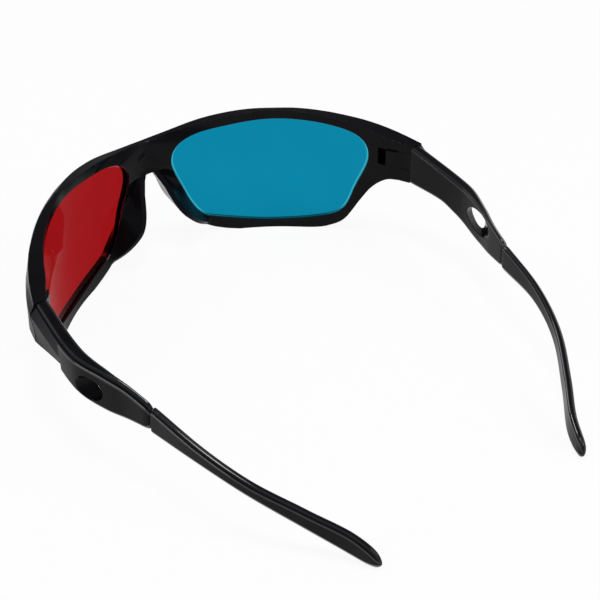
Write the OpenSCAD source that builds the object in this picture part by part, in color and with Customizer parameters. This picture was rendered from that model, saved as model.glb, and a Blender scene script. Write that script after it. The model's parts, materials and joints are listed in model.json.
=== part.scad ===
// Wrap-around red and cyan 3D glasses: a one-piece front, two snapped-in lenses and two folding temples.
// X runs to the wearer's right, Y forward and Z up. Rims and temple tips stand on the plane Z = 0.

/* [Front] */
// Half of the clear width between the temples at the hinges
hinge_half_w = 66; // [62:0.5:70]
// Depth from the hinge seam to the front of the bridge
front_reach = 52; // [48:0.5:56]
// Height of the upper rim over the middle of a lens
rim_top = 42; // [39:0.5:46]
// Wall of the rim above the lens
rim_above = 3; // [2:0.1:4]
// Wall of the rim below the lens
rim_below = 2.2; // [1.6:0.1:3]
// Depth of the rim, front to back, along its top
rim_depth = 4.5; // [4:0.1:6]
// Extra depth behind the lens along the bottom of the rim
rim_foot = 2.2; // [1:0.1:3]
// How far the front of the rim rounds back at its top
rim_round = 3; // [1:0.1:3.4]
// Drop of the brow line from the rim top to the bridge
brow_dip = 4.6; // [2:0.1:6]
// Height of the bridge over the nose
bridge_h = 10.2; // [8:0.1:13]
// Drop of the brow line from the rim top to the hinge seam
end_drop = 6.6; // [4:0.1:9]
// Height of the end piece at the hinge seam
end_h = 13; // [11:0.1:15]
// Thickness of the end piece at the ridge of its outer face
end_t = 6; // [5.6:0.1:6.8]
// How far the ridge stands out from the upper edge of the outer face
ridge_out = 1.6; // [1:0.1:2.2]

/* [Lenses] */
// Thickness of a lens
lens_t = 2; // [1.2:0.1:2.4]
// Depth of the lens front behind the front of the rim
lens_inset = 1.8; // [1.2:0.1:2.2]
// How far the lens edge reaches into its groove
lens_lap = 0.9; // [0.5:0.1:1.2]
// Clearance round the lens edge in its groove
lens_gap = 0.08; // [0.05:0.01:0.15]
// Arc from the middle of the bridge to the lens opening
bridge_arc = 9; // [8:0.1:11]
// Arc from the lens opening to the hinge seam
end_arc = 14.4; // [13:0.1:17]

/* [Nose pads] */
// Half width of the nose gap at the lower end of the pads
nose_half_w = 11.2; // [10:0.1:12.4]
// Thickness of a nose pad
pad_t = 2.6; // [2:0.1:3.2]
// How far a nose pad reaches behind the rim
pad_reach = 5.4; // [3:0.1:7]
// Angle at which the nose gap opens towards the front
pad_splay = 8; // [2:1:12]

/* [Hinges] */
// Diameter of the hinge screw
screw_d = 2; // [1.6:0.1:2.2]
// Diameter of the screw head
screw_head_d = 3.4; // [3:0.1:3.8]
// Height of the screw head
screw_head_h = 1.2; // [1:0.1:1.6]
// Running clearance round the screw in the temple
screw_gap = 0.05; // [0.03:0.01:0.1]
// Clearance round the screw in the end piece
screw_seat_gap = 0.02; // [0.01:0.01:0.05]
// Radius of the round hinge tongue
tongue_r = 2.4; // [2.1:0.1:2.6]
// Height of the hinge tongue
tongue_h = 5.8; // [5:0.1:6.5]
// Wall of the end piece above the tongue
ear_top_t = 2.6; // [2.3:0.1:3.2]
// Clearance of the tongue in its slot
tongue_gap = 0.12; // [0.1:0.01:0.2]
// Distance of the screw in front of the hinge seam
hinge_ahead = 5.2; // [4.8:0.1:6]
// Distance of the screw inside the clear width at the hinges
hinge_in = 0.8; // [0.5:0.1:1.2]
// Length of the slot in front of the screw
slot_ahead = 6; // [5:0.1:6.4]
// Gap at the hinge seam
seam_gap = 0.3; // [0.25:0.05:0.6]

/* [Temples] */
// Length of the temple arm behind the seam
arm_len = 47.6; // [44:0.2:52]
// Thickness of the arm at its front
arm_t = 4.4; // [4:0.1:5]
// Thickness of the arm at the tip joint
arm_end_t = 2.2; // [2:0.1:3]
// How far the arm bows outwards
arm_bow = 1.8; // [0.5:0.1:3]
// How far the arm comes in again at the tip joint
arm_waist = 3.4; // [2:0.1:5]
// Fall of the arm's upper edge along its length
arm_fall = 8.9; // [7:0.1:10]
// Fall of the arm's lower edge at the strap hole
arm_belly = 5.2; // [4.6:0.1:6]
// Length of the strap hole on the outer face
hole_len = 9; // [8:0.1:10]
// Height of the strap hole on the outer face
hole_h = 7.2; // [6:0.1:7.6]
// How far the strap hole flares backwards on the inner face
hole_flare = 4; // [2:0.1:5]

/* [Side plates] */
// Thickness of the side plate at its upper edge
plate_t = 1.3; // [1:0.1:1.6]
// Length of the side plate along its lower edge
plate_len = 15.4; // [12:0.1:16]
// How much shorter the side plate is along its upper edge
plate_rake = 1.2; // [1:0.1:6]
// How far the upper edge of the side plate lies below the top of the arm
plate_drop = 1.4; // [1:0.1:1.6]
// Gap behind the side plate
plate_notch = 0.5; // [0.3:0.05:0.8]
// Gap between the side plate and its seat
plate_gap = 0.1; // [0.05:0.01:0.2]

/* [Temple tips] */
// Length of the temple tip
tip_len = 64.4; // [58:0.2:70]
// Thickness of the temple tip
tip_t = 2.4; // [2.2:0.1:3]
// Height of the temple tip at the joint
tip_h = 8.6; // [7.6:0.1:9]
// How far the tip curves in behind the head
tip_in = 27; // [20:0.5:32]
// How far the lower edge of the tip leans in
tip_lean = 0.2; // [0:0.1:2.4]
// Width of the groove between arm and tip
joint_gap = 0.5; // [0.3:0.05:0.8]
// Step from the arm down to the tip
joint_step = 0.5; // [0.2:0.1:0.8]
// Length of the tang inside the tip
tang_len = 16; // [10:0.5:24]
// Thickness of the tang
tang_t = 1.1; // [0.8:0.1:1.3]
// Height of the tang
tang_h = 4; // [3:0.1:5]
// Clearance round the tang
tang_gap = 0.08; // [0.05:0.01:0.15]

/* [Hidden] */
$fn = 64;
plastic = "#1c1c20";
textured = "#2a2a2e";
rubber = "#222225";
steel = "#9a9ca0";
red = [0.72, 0.06, 0.08, 0.8];
cyan = [0.05, 0.53, 0.66, 0.8];
over = 1;

// The front wraps round a vertical axis
wrap_in = 3.2;
wrap_w = hinge_half_w + wrap_in;
wrap_r = (wrap_w * wrap_w + front_reach * front_reach) / (2 * front_reach);
wrap_y = front_reach - wrap_r;
rear_r = wrap_r - rim_depth;
lens_out_r = wrap_r - lens_inset;
lens_in_r = lens_out_r - lens_t;
deg_per_mm = 180 / (PI * lens_in_r);
seam_angle = atan2(hinge_half_w, -wrap_y);
lens_from = bridge_arc * deg_per_mm;
lens_to = seam_angle - end_arc * deg_per_mm;
lens_mid = (lens_from + lens_to) / 2;
lens_span = lens_to - lens_from;
lens_bottom = rim_below;
lens_top = rim_top - rim_above;
end_top = rim_top - end_drop;
end_bottom = end_top - end_h;
front_top = rim_top + over;

// Smooth curve through points of position and value
function stretch(pts, x, i = 0) =
    i >= len(pts) - 2 || x <= pts[i + 1][0] ? i : stretch(pts, x, i + 1);
function slope_at(pts, i) =
    let (a = max(i - 1, 0), b = min(i + 1, len(pts) - 1))
    (pts[b][1] - pts[a][1]) / (pts[b][0] - pts[a][0]);
function smooth_at(pts, x) =
    let (
        i = stretch(pts, x),
        h = pts[i + 1][0] - pts[i][0],
        t = (x - pts[i][0]) / h,
        a = pts[i][1],
        b = pts[i + 1][1],
        m = slope_at(pts, i) * h,
        n = slope_at(pts, i + 1) * h
    )
    a + t * (m + t * (3 * (b - a) - 2 * m - n + t * (2 * (a - b) + m + n)));

// Smooth closed outline through its corner points
function round_loop(pts, steps) =
    let (n = len(pts))
    [for (i = [0:n - 1]) for (k = [0:steps - 1])
        let (
            t = k / steps,
            a = pts[(i + n - 1) % n],
            b = pts[i],
            c = pts[(i + 1) % n],
            d = pts[(i + 2) % n]
        )
        b + t / 2 * (c - a + t * (2 * a - 5 * b + 4 * c - d + t * (3 * b - a - 3 * c + d)))];

// Outline moved outwards by a distance; the outline runs clockwise
function grown(pts, by) =
    let (n = len(pts))
    [for (i = [0:n - 1])
        let (
            along = pts[(i + 1) % n] - pts[(i + n - 1) % n],
            out = [-along[1], along[0]] / norm(along)
        )
        pts[i] + by * out];

// Solid through rings of points, each ring in the same order
module loft(rings) {
    n = len(rings[0]);
    last = len(rings) - 1;
    sides = [for (k = [0:last - 1]) for (i = [0:n - 1])
        let (j = (i + 1) % n, a = k * n, b = a + n)
        each [[a + i, a + j, b + j], [a + i, b + j, b + i]]];
    front_cap = [for (i = [1:n - 2]) [0, i + 1, i]];
    rear_cap = [for (i = [1:n - 2]) [last * n, last * n + i, last * n + i + 1]];
    polyhedron([for (ring = rings) each ring], concat(sides, front_cap, rear_cap), convexity = 8);
}

module placed() translate([0, shift_y, 0]) children();
module left_side() mirror([1, 0, 0]) children();
module both_sides() {
    children();
    left_side() children();
}

// The part of a shape on the wearer's right, reaching just past the middle
mid_lap = 0.02;
module right_part()
    intersection() {
        children();
        translate([-mid_lap, -wrap_r, -over]) cube([2 * wrap_r, 3 * wrap_r, 3 * rim_top]);
    }

// Prism along the axis of the right lens, drawn across that axis
module lens_prism()
    translate([0, wrap_y, 0])
        rotate([0, 0, -lens_mid])
            rotate([90, 0, 0])
                translate([0, 0, -2 * wrap_r])
                    linear_extrude(2 * wrap_r)
                        children();
function across(angle) = lens_in_r * sin(angle - lens_mid);

// Lens opening as shares of its width and height, from the nose over the brow
lens_shape = [
    [0, 0.72], [0.06, 0.885], [0.25, 0.957], [0.52, 1], [0.8, 0.965], [0.957, 0.885], [1, 0.7],
    [0.935, 0.4], [0.858, 0.133], [0.7, 0.027], [0.47, 0], [0.239, 0.07], [0.135, 0.163], [0.06, 0.42]
];
lens_opening = round_loop([for (p = lens_shape)
    [across(lens_from + p[0] * lens_span), lens_bottom + p[1] * (lens_top - lens_bottom)]], 4);

// Brow line and lower edge of the front, by angle round the wrap axis
past = 8;
foot_turn = 20;
foot_from = lens_to - foot_turn;
brow_line = [
    [-past, rim_top - brow_dip], [0, rim_top - brow_dip], [lens_from, rim_top - 0.88 * brow_dip],
    [lens_from + 0.2 * lens_span, rim_top - 0.4 * brow_dip], [lens_mid, rim_top],
    [lens_from + 0.76 * lens_span, rim_top - 0.18 * end_drop], [lens_to, rim_top - 0.53 * end_drop],
    [seam_angle, end_top], [seam_angle + past, end_top - 0.3 * end_drop]
];
foot_line = [
    [foot_from, 0], [lens_to - 0.7 * foot_turn, 0.01 * end_bottom],
    [lens_to - 0.5 * foot_turn, 0.06 * end_bottom], [lens_to - 0.275 * foot_turn, 0.2 * end_bottom],
    [lens_to - 0.05 * foot_turn, 0.54 * end_bottom], [lens_to + 0.1 * foot_turn, 0.76 * end_bottom],
    [lens_to + 0.25 * foot_turn, 0.91 * end_bottom], [lens_to + 0.4 * foot_turn, 0.99 * end_bottom],
    [seam_angle, end_bottom], [seam_angle + past, end_bottom]
];
foot_r = rear_r - rim_foot;
function foot_across(angle) = foot_r * sin(angle - lens_mid);

module above_brow()
    lens_prism()
        polygon(concat(
            [for (a = [-past:2:seam_angle + past]) [across(a), smooth_at(brow_line, a)]],
            [[wrap_r, end_top - end_drop], [wrap_r, 2 * rim_top], [across(-past), 2 * rim_top]]
        ));

module below_foot()
    lens_prism()
        polygon(concat(
            [for (a = [foot_from:2:seam_angle + past]) [foot_across(a), smooth_at(foot_line, a)]],
            [[wrap_r, end_bottom], [wrap_r, -over], [foot_across(foot_from), -over]]
        ));

// Rim band, rounded back at its top and deeper at its foot behind the lenses
band_angle = lens_to + 0.25 * foot_turn;
round_h = 2.6 * rim_above;
foot_in = 0.5 * lens_inset;
band_top = [for (a = [0:22.5:90])
    [wrap_r - rim_round * (1 - cos(a)), rim_top - round_h * (1 - sin(a))]];
band_shape = concat(
    [[foot_r, 0], [wrap_r - foot_in, 0], [wrap_r, rim_top / 2]],
    band_top,
    [[wrap_r - rim_round, front_top], [rear_r, front_top], [rear_r, rim_top / 2]]
);
module rim_band()
    translate([0, wrap_y, 0])
        rotate([0, 0, 90 - band_angle])
            rotate_extrude(angle = 2 * band_angle, $fn = 180)
                polygon(band_shape);

// Ring of the gabled end piece at a distance in front of the seam
end_reach = 24;
end_far = 13;
end_mid = 7.6;
end_near = 3;
near_in = 1.5;
function wrap_x(r, y) = sqrt(r * r - pow(y - wrap_y, 2));
end_inner = [
    [-over, hinge_half_w + 0.3 * near_in], [0, hinge_half_w], [end_near, hinge_half_w - near_in],
    [end_mid, wrap_x(rear_r, end_mid)], [end_far, wrap_x(lens_in_r + 0.3 * lens_t, end_far)],
    [end_reach, wrap_x(lens_out_r, end_reach)]
];
end_outer = [
    [-over, hinge_half_w + end_t], [0, hinge_half_w + end_t],
    [end_mid, wrap_x(wrap_r, end_mid) + 0.32 * end_t], [end_far, wrap_x(wrap_r, end_far) + 0.2 * end_t],
    [end_reach, wrap_x(wrap_r - 0.2 * rim_round, end_reach)]
];
ridge_drop = 3;
gable_up = 2.4;
gable_down = 6.8;
gable_low = 0.75;
function end_ring(y) =
    let (
        inner = smooth_at(end_inner, y),
        outer = smooth_at(end_outer, y),
        ridge = end_top - ridge_drop * (1 - 1.2 * y / end_reach),
        upper = outer - ridge_out * (1 - 0.75 * y / end_reach),
        lower = outer - gable_low * ridge_out * max(1 - y / end_mid, 0.1)
    )
    [[inner, y, -over], [inner, y, front_top], [upper, y, front_top], [upper, y, ridge + gable_up],
        [outer, y, ridge], [lower, y, ridge - gable_down], [lower, y, -over]];
module end_piece()
    loft([for (y = [end_reach:-2:0]) end_ring(y)]);

// Nose gap drawn across the splayed direction of the right pad
nose_y = wrap_y + foot_r;
gap_top = rim_top - brow_dip - bridge_h;
pad_low = 0.4 * gap_top;
nose_far = 2.55 * nose_half_w;
nose_line = [
    [-past, gap_top], [0.08 * nose_half_w, gap_top], [0.2 * nose_half_w, 0.91 * gap_top],
    [0.33 * nose_half_w, 0.81 * gap_top], [0.47 * nose_half_w, 0.65 * gap_top],
    [0.64 * nose_half_w, 0.51 * gap_top], [0.86 * nose_half_w, pad_low],
    [1.25 * nose_half_w, 0.24 * gap_top], [1.7 * nose_half_w, 0.1 * gap_top],
    [2.15 * nose_half_w, 0.03 * gap_top], [nose_far, 0]
];
module nose_prism()
    translate([0, nose_y, 0])
        rotate([0, 0, -pad_splay])
            rotate([90, 0, 0])
                translate([0, 0, -wrap_r / 2])
                    linear_extrude(wrap_r)
                        children();
function along_nose(axis, t) =
    smooth_at([for (i = [0:len(nose_line) - 1]) [i, nose_line[i][axis]]], t);
function nose_edge(to) = [for (k = [0:3 * to]) [along_nose(0, k / 3), along_nose(1, k / 3)]];
module nose_gap()
    nose_prism()
        polygon(concat(nose_edge(len(nose_line) - 1), [[nose_far, -over], [-past, -over]]));

// Nose pad: a fin along the nose gap that reaches back to a rounded edge
module nose_pad() {
    edge = nose_edge(len(nose_line) - 2);
    back = [for (p = edge) p + [pad_t, 0]];
    pad_front = wrap_y + lens_in_r;
    pad_side = round_loop([
        [pad_front, gap_top], [nose_y + 0.3 * pad_reach, 0.93 * gap_top],
        [nose_y - 0.4 * pad_reach, 0.68 * gap_top], [nose_y - 0.85 * pad_reach, 0.5 * gap_top],
        [nose_y - pad_reach, pad_low],
        [nose_y - 0.8 * pad_reach, 0.24 * gap_top], [nose_y - 0.3 * pad_reach, 0.1 * gap_top],
        [nose_y + 0.1 * pad_reach, 0.03 * gap_top], [pad_front, 0.02 * gap_top]
    ], 3);
    intersection() {
        nose_prism() polygon(concat(edge, [for (i = [len(back) - 1:-1:0]) back[i]]));
        rotate([90, 0, 90]) linear_extrude(3 * nose_half_w) polygon(pad_side);
        translate([0, wrap_y, -over]) cylinder(r = lens_in_r, h = 2 * rim_top, $fn = 180);
    }
}

// Lens: a slice of a tube cut to the opening's outline
module lens_blank(edge, play)
    intersection() {
        lens_prism() polygon(grown(lens_opening, edge));
        translate([0, wrap_y, -over])
            difference() {
                cylinder(r = lens_out_r + play, h = 2 * rim_top, $fn = 180);
                translate([0, 0, -over]) cylinder(r = lens_in_r - play, h = 3 * rim_top, $fn = 180);
            }
        translate([over, -wrap_r, -over]) cube([2 * wrap_r, 3 * wrap_r, 3 * rim_top]);
    }

// Hinge values shared by the end piece, the tongue and the screw
tongue_top = end_top - ear_top_t;
tongue_low = tongue_top - tongue_h;
hinge_x = hinge_half_w - hinge_in;
head_sink = 0.4;
screw_cover = 0.6;
bore_end = 0.1;
screw_low = end_bottom + head_sink;
screw_top = end_top - screw_cover;

module at_hinge() translate([hinge_x, hinge_ahead, 0]) children();

// Slot for the tongue; its front part follows the slant of the inner face
slot_slant = atan2(smooth_at(end_inner, end_near) - smooth_at(end_inner, end_mid), end_mid - end_near);
module hinge_slot() {
    r = tongue_r + tongue_gap;
    inward = 3 * tongue_r;
    at_hinge()
        translate([0, 0, tongue_low - tongue_gap])
            linear_extrude(tongue_h + 2 * tongue_gap) {
                circle(r = r);
                translate([-inward, -hinge_ahead - over]) square([inward + r, hinge_ahead + over]);
                rotate(slot_slant) translate([-inward, -over]) square([inward, slot_ahead + over]);
            }
}

module screw_bores()
    at_hinge() {
        cylinder(d = screw_d + 2 * screw_seat_gap, h = screw_top + bore_end);
        cylinder(d = screw_head_d + 2 * screw_seat_gap, h = screw_low + screw_head_h);
    }

module front_frame()
    color(plastic) placed() {
        difference() {
            union() {
                rim_band();
                both_sides() end_piece();
            }
            both_sides() {
                right_part() above_brow();
                below_foot();
                right_part() nose_gap();
                lens_prism() polygon(lens_opening);
                lens_blank(lens_lap + lens_gap, lens_gap);
                hinge_slot();
                screw_bores();
            }
        }
        both_sides() right_part() nose_pad();
    }

module right_lens_blank() placed() lens_blank(lens_lap, 0);
module right_lens() color(cyan) right_lens_blank();
module left_lens() color(red) left_side() right_lens_blank();

// Edges of the right arm by distance behind the seam
arm_upper = [
    [0, end_top], [0.36 * arm_len, end_top - 0.38 * arm_fall], [0.7 * arm_len, end_top - 0.62 * arm_fall],
    [arm_len, end_top - arm_fall]
];
arm_lower = [
    [0, end_bottom], [0.28 * arm_len, end_bottom - 0.06 * arm_belly],
    [0.4 * arm_len, end_bottom - 0.36 * arm_belly],
    [0.59 * arm_len, end_bottom - 0.85 * arm_belly], [0.74 * arm_len, end_bottom - arm_belly],
    [arm_len, end_bottom - 0.86 * arm_belly]
];
arm_inner = [
    [0, hinge_half_w], [0.45 * arm_len, hinge_half_w + arm_bow],
    [0.69 * arm_len, hinge_half_w + 0.1 * arm_bow],
    [0.83 * arm_len, hinge_half_w - 0.47 * arm_waist], [arm_len, hinge_half_w - arm_waist]
];
arm_thick = [
    [0, arm_t], [0.45 * arm_len, arm_t], [0.71 * arm_len, arm_end_t + 0.22 * (arm_t - arm_end_t)],
    [0.84 * arm_len, arm_end_t], [arm_len, arm_end_t]
];
edge_in = 0.4;
edge_out = 1.1;
top_slope = 0.3;
function arm_ring(d) =
    let (
        a = smooth_at(arm_inner, d),
        b = a + smooth_at(arm_thick, d),
        top = smooth_at(arm_upper, d),
        low = smooth_at(arm_lower, d)
    )
    [[a + edge_in, -d, low], [a, -d, low + edge_in], [a, -d, top - edge_in], [a + edge_in, -d, top],
        [b - edge_out, -d, top - top_slope], [b, -d, top - top_slope - edge_out],
        [b, -d, low + edge_out], [b - edge_out, -d, low]];

// Edges of the right tip by share of its length
tip_start = arm_len + joint_gap;
tip_root_x = hinge_half_w - arm_waist + tip_t / 2 - joint_step;
tip_root_top = end_top - arm_fall - joint_step;
tip_root_low = tip_root_top - tip_h;
tip_curve = [[0, 0], [0.27, 0.11], [0.5, 0.305], [0.71, 0.615], [0.86, 0.86], [1, 1]];
tip_upper = [[0, 0], [0.22, 0.13], [0.42, 0.29], [0.64, 0.51], [0.82, 0.725], [0.95, 0.89], [1, 1]];
tip_lower = [[0, 0], [0.27, 0.055], [0.5, 0.27], [0.71, 0.63], [0.85, 0.91], [0.94, 1], [1, 0.95]];
tip_end_top = 3.4;
tip_bevel = 1.2;
tip_round = 0.95;
function tip_x(s) = tip_root_x - tip_in * smooth_at(tip_curve, s);
function tip_top_z(s) = tip_root_top - (tip_root_top - tip_end_top) * smooth_at(tip_upper, s);
function tip_low_z(s) = tip_root_low * (1 - smooth_at(tip_lower, s));
function tip_turn(s) =
    let (e = 0.01) atan((tip_x(s - e) - tip_x(s + e)) / (2 * e * tip_len));
function tip_half(s) =
    let (t = max(s - tip_round, 0) / (1 - tip_round)) tip_t / 2 * sqrt(1 - 0.8 * t * t);
function tip_ring(s) =
    let (
        w = tip_half(s),
        top = tip_top_z(s),
        low = tip_low_z(s),
        bevel = min(tip_bevel, 0.3 * (top - low)),
        lean = tip_lean * s,
        section = [
            [-0.4 * w - lean, low], [-w - lean, low + bevel], [-w, top - bevel / 2], [-0.6 * w, top],
            [0.4 * w, top - bevel / 4], [w, top - bevel], [w - lean, low + bevel], [0.3 * w - lean, low]
        ]
    )
    [for (p = section)
        [tip_x(s) + p[0] * cos(tip_turn(s)), -tip_start - s * tip_len - p[0] * sin(tip_turn(s)), p[1]]];

// The glasses stand with the middle of their length at Y = 0
tip_end = tip_start + tip_len + tip_half(1) * sin(tip_turn(1));
shift_y = (tip_end - front_reach) / 2;

// Tang of the arm inside the tip, with a clearance for its socket
tang_taper = 0.35;
function tang_ring(d, gap) =
    let (
        inside = max(d - tip_start, 0),
        s = inside / tip_len,
        x = tip_x(s) - tip_lean * s / 2,
        z = (tip_top_z(s) + tip_low_z(s)) / 2,
        w = tang_t / 2 + gap,
        h = tang_h / 2 * (1 - tang_taper * inside / tang_len) + gap
    )
    [[x - w, -d, z - h], [x - w, -d, z + h], [x + w, -d, z + h], [x + w, -d, z - h]];
tang_end_gap = 0.3;
module tang(from, to, gap)
    loft([for (k = [0:6]) tang_ring(from + k / 6 * (to - from), gap)]);

// Side plate on the outer face of the arm, gabled like the end piece; its ridge runs down to its rear end
plate_in = hinge_half_w + end_t - ridge_out - plate_t;
function plate_ring(share, gap, reach) =
    let (
        d_low = seam_gap + share * (plate_len - seam_gap),
        d_top = seam_gap + share * (plate_len - plate_rake - seam_gap),
        edge_low = smooth_at(arm_lower, d_low),
        edge_top = smooth_at(arm_upper, d_top) - plate_drop,
        rake = (d_low - d_top) / (edge_top - edge_low),
        low = edge_low - reach,
        top = edge_top + gap,
        inner = plate_in - gap,
        upper = plate_in + plate_t + reach,
        ridge = upper + ridge_out * (1 - 0.55 * share),
        lower = upper + (1 - gable_low) * ridge_out * (1 - share),
        z_ridge = end_top - ridge_drop - share * 0.62 * end_h,
        z_lower = max(z_ridge - gable_down, edge_low + 0.1 * (z_ridge - edge_low))
    )
    [for (p = [[inner, low], [inner, top], [upper, top], [ridge, z_ridge], [lower, z_lower], [lower, low]])
        [p[0], -d_top - rake * (edge_top - p[1]), p[1]]];
module side_plate_shape()
    loft([for (k = [0:4]) plate_ring(k / 4, 0, 0)]);
module plate_seat() {
    back = plate_notch / plate_len;
    loft([for (share = [-0.25, 0, 0.25, 0.5, 0.75, 1, 1 + back]) plate_ring(share, plate_gap, end_t)]);
}

// Strap hole: an oval that flares backwards and upwards from the outer to the inner face
hole_d = 27.6;
hole_down = 1.2;
hole_z = (smooth_at(arm_upper, hole_d) + smooth_at(arm_lower, hole_d)) / 2 - hole_down;
function hole_ring(share) =
    let (flare = hole_flare * share)
    [for (a = [0:11.25:348.75])
        let (d = hole_d + 0.85 * flare + (hole_len / 2 + 0.55 * flare) * cos(a))
        [smooth_at(arm_inner, d) + (1 - share) * smooth_at(arm_thick, d), -d,
            hole_z + 0.25 * flare - (hole_h / 2 + 0.12 * flare) * sin(a)]];
module strap_hole()
    loft([hole_ring(-0.3), hole_ring(1.3)]);

module hinge_tongue()
    difference() {
        translate([0, 0, tongue_low])
            union() {
                at_hinge() cylinder(r = tongue_r, h = tongue_h);
                linear_extrude(tongue_h)
                    polygon(concat(
                        [for (y = [-over:1:end_near]) [smooth_at(end_inner, y), y]],
                        [[hinge_x, hinge_ahead]],
                        [for (y = [hinge_ahead, -over]) [hinge_x + tongue_r, y]]
                    ));
            }
        at_hinge() cylinder(d = screw_d + 2 * screw_gap, h = rim_top);
    }

module temple_shape() {
    steps = 24;
    difference() {
        loft([for (k = [0:steps]) arm_ring(seam_gap + k / steps * (arm_len - seam_gap))]);
        plate_seat();
        strap_hole();
    }
    hinge_tongue();
    tang(arm_len - over, tip_start + tang_len, 0);
}
module right_temple() color(plastic) placed() temple_shape();
module left_temple() color(plastic) left_side() placed() temple_shape();

module temple_tip_shape()
    difference() {
        loft(concat(
            [for (k = [0:24]) tip_ring(k / 24 * tip_round)],
            [for (a = [22.5:22.5:90]) tip_ring(tip_round + (1 - tip_round) * sin(a))]
        ));
        tang(tip_start - over, tip_start + tang_len + tang_end_gap, tang_gap);
    }
module right_temple_tip() color(rubber) placed() temple_tip_shape();
module left_temple_tip() color(rubber) left_side() placed() temple_tip_shape();

module right_side_plate() color(textured) placed() side_plate_shape();
module left_side_plate() color(textured) left_side() placed() side_plate_shape();

// Hinge screw, entered from below, with a cross slot in its head
slot_len = 0.7 * screw_head_d;
slot_w = 0.2 * screw_d;
module hinge_screw_shape()
    at_hinge() difference() {
        union() {
            translate([0, 0, screw_low]) cylinder(d = screw_head_d, h = screw_head_h);
            translate([0, 0, screw_low]) cylinder(d = screw_d, h = screw_top - screw_low);
        }
        for (turn = [0, 90])
            rotate([0, 0, turn])
                translate([-slot_len / 2, -slot_w / 2, screw_low - over])
                    cube([slot_len, slot_w, over + screw_head_h / 2]);
    }
module right_hinge_screw() color(steel) placed() hinge_screw_shape();
module left_hinge_screw() color(steel) left_side() placed() hinge_screw_shape();

front_frame();
left_lens();
right_lens();
left_temple();
right_temple();
left_temple_tip();
right_temple_tip();
left_side_plate();
right_side_plate();
left_hinge_screw();
right_hinge_screw();
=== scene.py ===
import json
from math import asin, atan, atan2, cos, degrees, hypot, pi, radians, sin, sqrt

import bmesh
import bpy
from mathutils import Matrix, Vector


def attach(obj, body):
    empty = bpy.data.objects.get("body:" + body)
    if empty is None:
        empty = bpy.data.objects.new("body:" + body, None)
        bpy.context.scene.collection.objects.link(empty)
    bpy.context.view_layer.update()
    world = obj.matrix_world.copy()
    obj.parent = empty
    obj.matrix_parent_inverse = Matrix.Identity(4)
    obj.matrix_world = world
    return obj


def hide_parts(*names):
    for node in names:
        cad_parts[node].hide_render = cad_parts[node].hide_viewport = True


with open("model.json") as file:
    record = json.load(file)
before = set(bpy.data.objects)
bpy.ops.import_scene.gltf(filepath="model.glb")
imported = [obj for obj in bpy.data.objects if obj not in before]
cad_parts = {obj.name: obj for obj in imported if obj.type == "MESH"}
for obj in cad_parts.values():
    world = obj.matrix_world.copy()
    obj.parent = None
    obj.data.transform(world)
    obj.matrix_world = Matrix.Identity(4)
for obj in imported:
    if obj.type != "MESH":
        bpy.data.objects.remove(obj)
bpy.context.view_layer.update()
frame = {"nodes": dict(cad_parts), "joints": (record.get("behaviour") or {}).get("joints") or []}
mm = 0.001  # the sizes below are in millimetres, the angles in degrees
weldGap = 1e-7  # points closer than this, in metres, become one
middleGap = 1e-6  # and this close to the middle plane they lie on it
hinges = {joint["name"]: joint for joint in frame["joints"]}


# curves

def smoothAt(points, x):  # smooth curve through points of position and value
    i = 0
    while i < len(points) - 2 and x > points[i + 1][0]:
        i += 1

    def slope(k):
        a, b = max(k - 1, 0), min(k + 1, len(points) - 1)
        return (points[b][1] - points[a][1]) / (points[b][0] - points[a][0])

    h = points[i + 1][0] - points[i][0]
    t = (x - points[i][0]) / h
    a, b = points[i][1], points[i + 1][1]
    m, n = slope(i) * h, slope(i + 1) * h
    return a + t * (m + t * (3 * (b - a) - 2 * m - n + t * (2 * (a - b) + m + n)))


def loopAt(points, c):  # smooth closed loop through its points, c counts them
    i = int(c // 1)
    t = c - i
    a, b, d, e = (Vector(points[(i + k) % len(points)]) for k in (-1, 0, 1, 2))
    return b + t / 2 * (d - a + t * (2 * a - 5 * b + 4 * d - e + t * (3 * b - a - 3 * d + e)))


def ease(low, high, x):
    t = min(max((x - low) / (high - low), 0), 1)
    return t * t * (3 - 2 * t)


def window(x, span):  # eases in over the span's first pair and out over its second
    rise, fall = span
    return ease(*rise, x) * (1 - ease(*fall, x))


def mixed(a, b, share):
    return a + (b - a) * share


# mesh helpers

def lofted(rings, loop=False):  # a grid laid over closed rings of points
    bm = bmesh.new()
    across = len(rings[0])
    along = len(rings) if loop else len(rings) - 1
    lane = bm.verts.layers.int.new("lane")
    station = bm.verts.layers.int.new("station")
    made = bmesh.ops.create_grid(bm, x_segments=along, y_segments=across, size=0.5)
    for vert in made["verts"]:
        i = round((vert.co.x + 0.5) * along) % len(rings)
        j = round((vert.co.y + 0.5) * across) % across
        vert.co = Vector(rings[i][j]) * mm
        vert[lane] = j
        vert[station] = i
    bmesh.ops.remove_doubles(bm, verts=bm.verts, dist=weldGap)
    return bm


def capped(bm):  # close open ends and point all faces outwards
    rim = [edge for edge in bm.edges if edge.is_boundary]
    if rim:
        bmesh.ops.holes_fill(bm, edges=rim, sides=0)
    bmesh.ops.recalc_face_normals(bm, faces=bm.faces)
    return bm


cornerShare = 0.45  # the most of a side that one rounded corner takes


def roundCorners(corners, radius, steps):  # section with each corner rounded off
    out = []
    for i, corner in enumerate(corners):
        p = Vector(corner)
        a, b = Vector(corners[i - 1]), Vector(corners[(i + 1) % len(corners)])
        ra = min(radius, cornerShare * (a - p).length)
        rb = min(radius, cornerShare * (b - p).length)
        pa, pb = p + (a - p).normalized() * ra, p + (b - p).normalized() * rb
        for k in range(steps + 1):
            t = k / steps
            out.append(pa * (1 - t) ** 2 + p * 2 * t * (1 - t) + pb * t * t)
    return out


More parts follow.
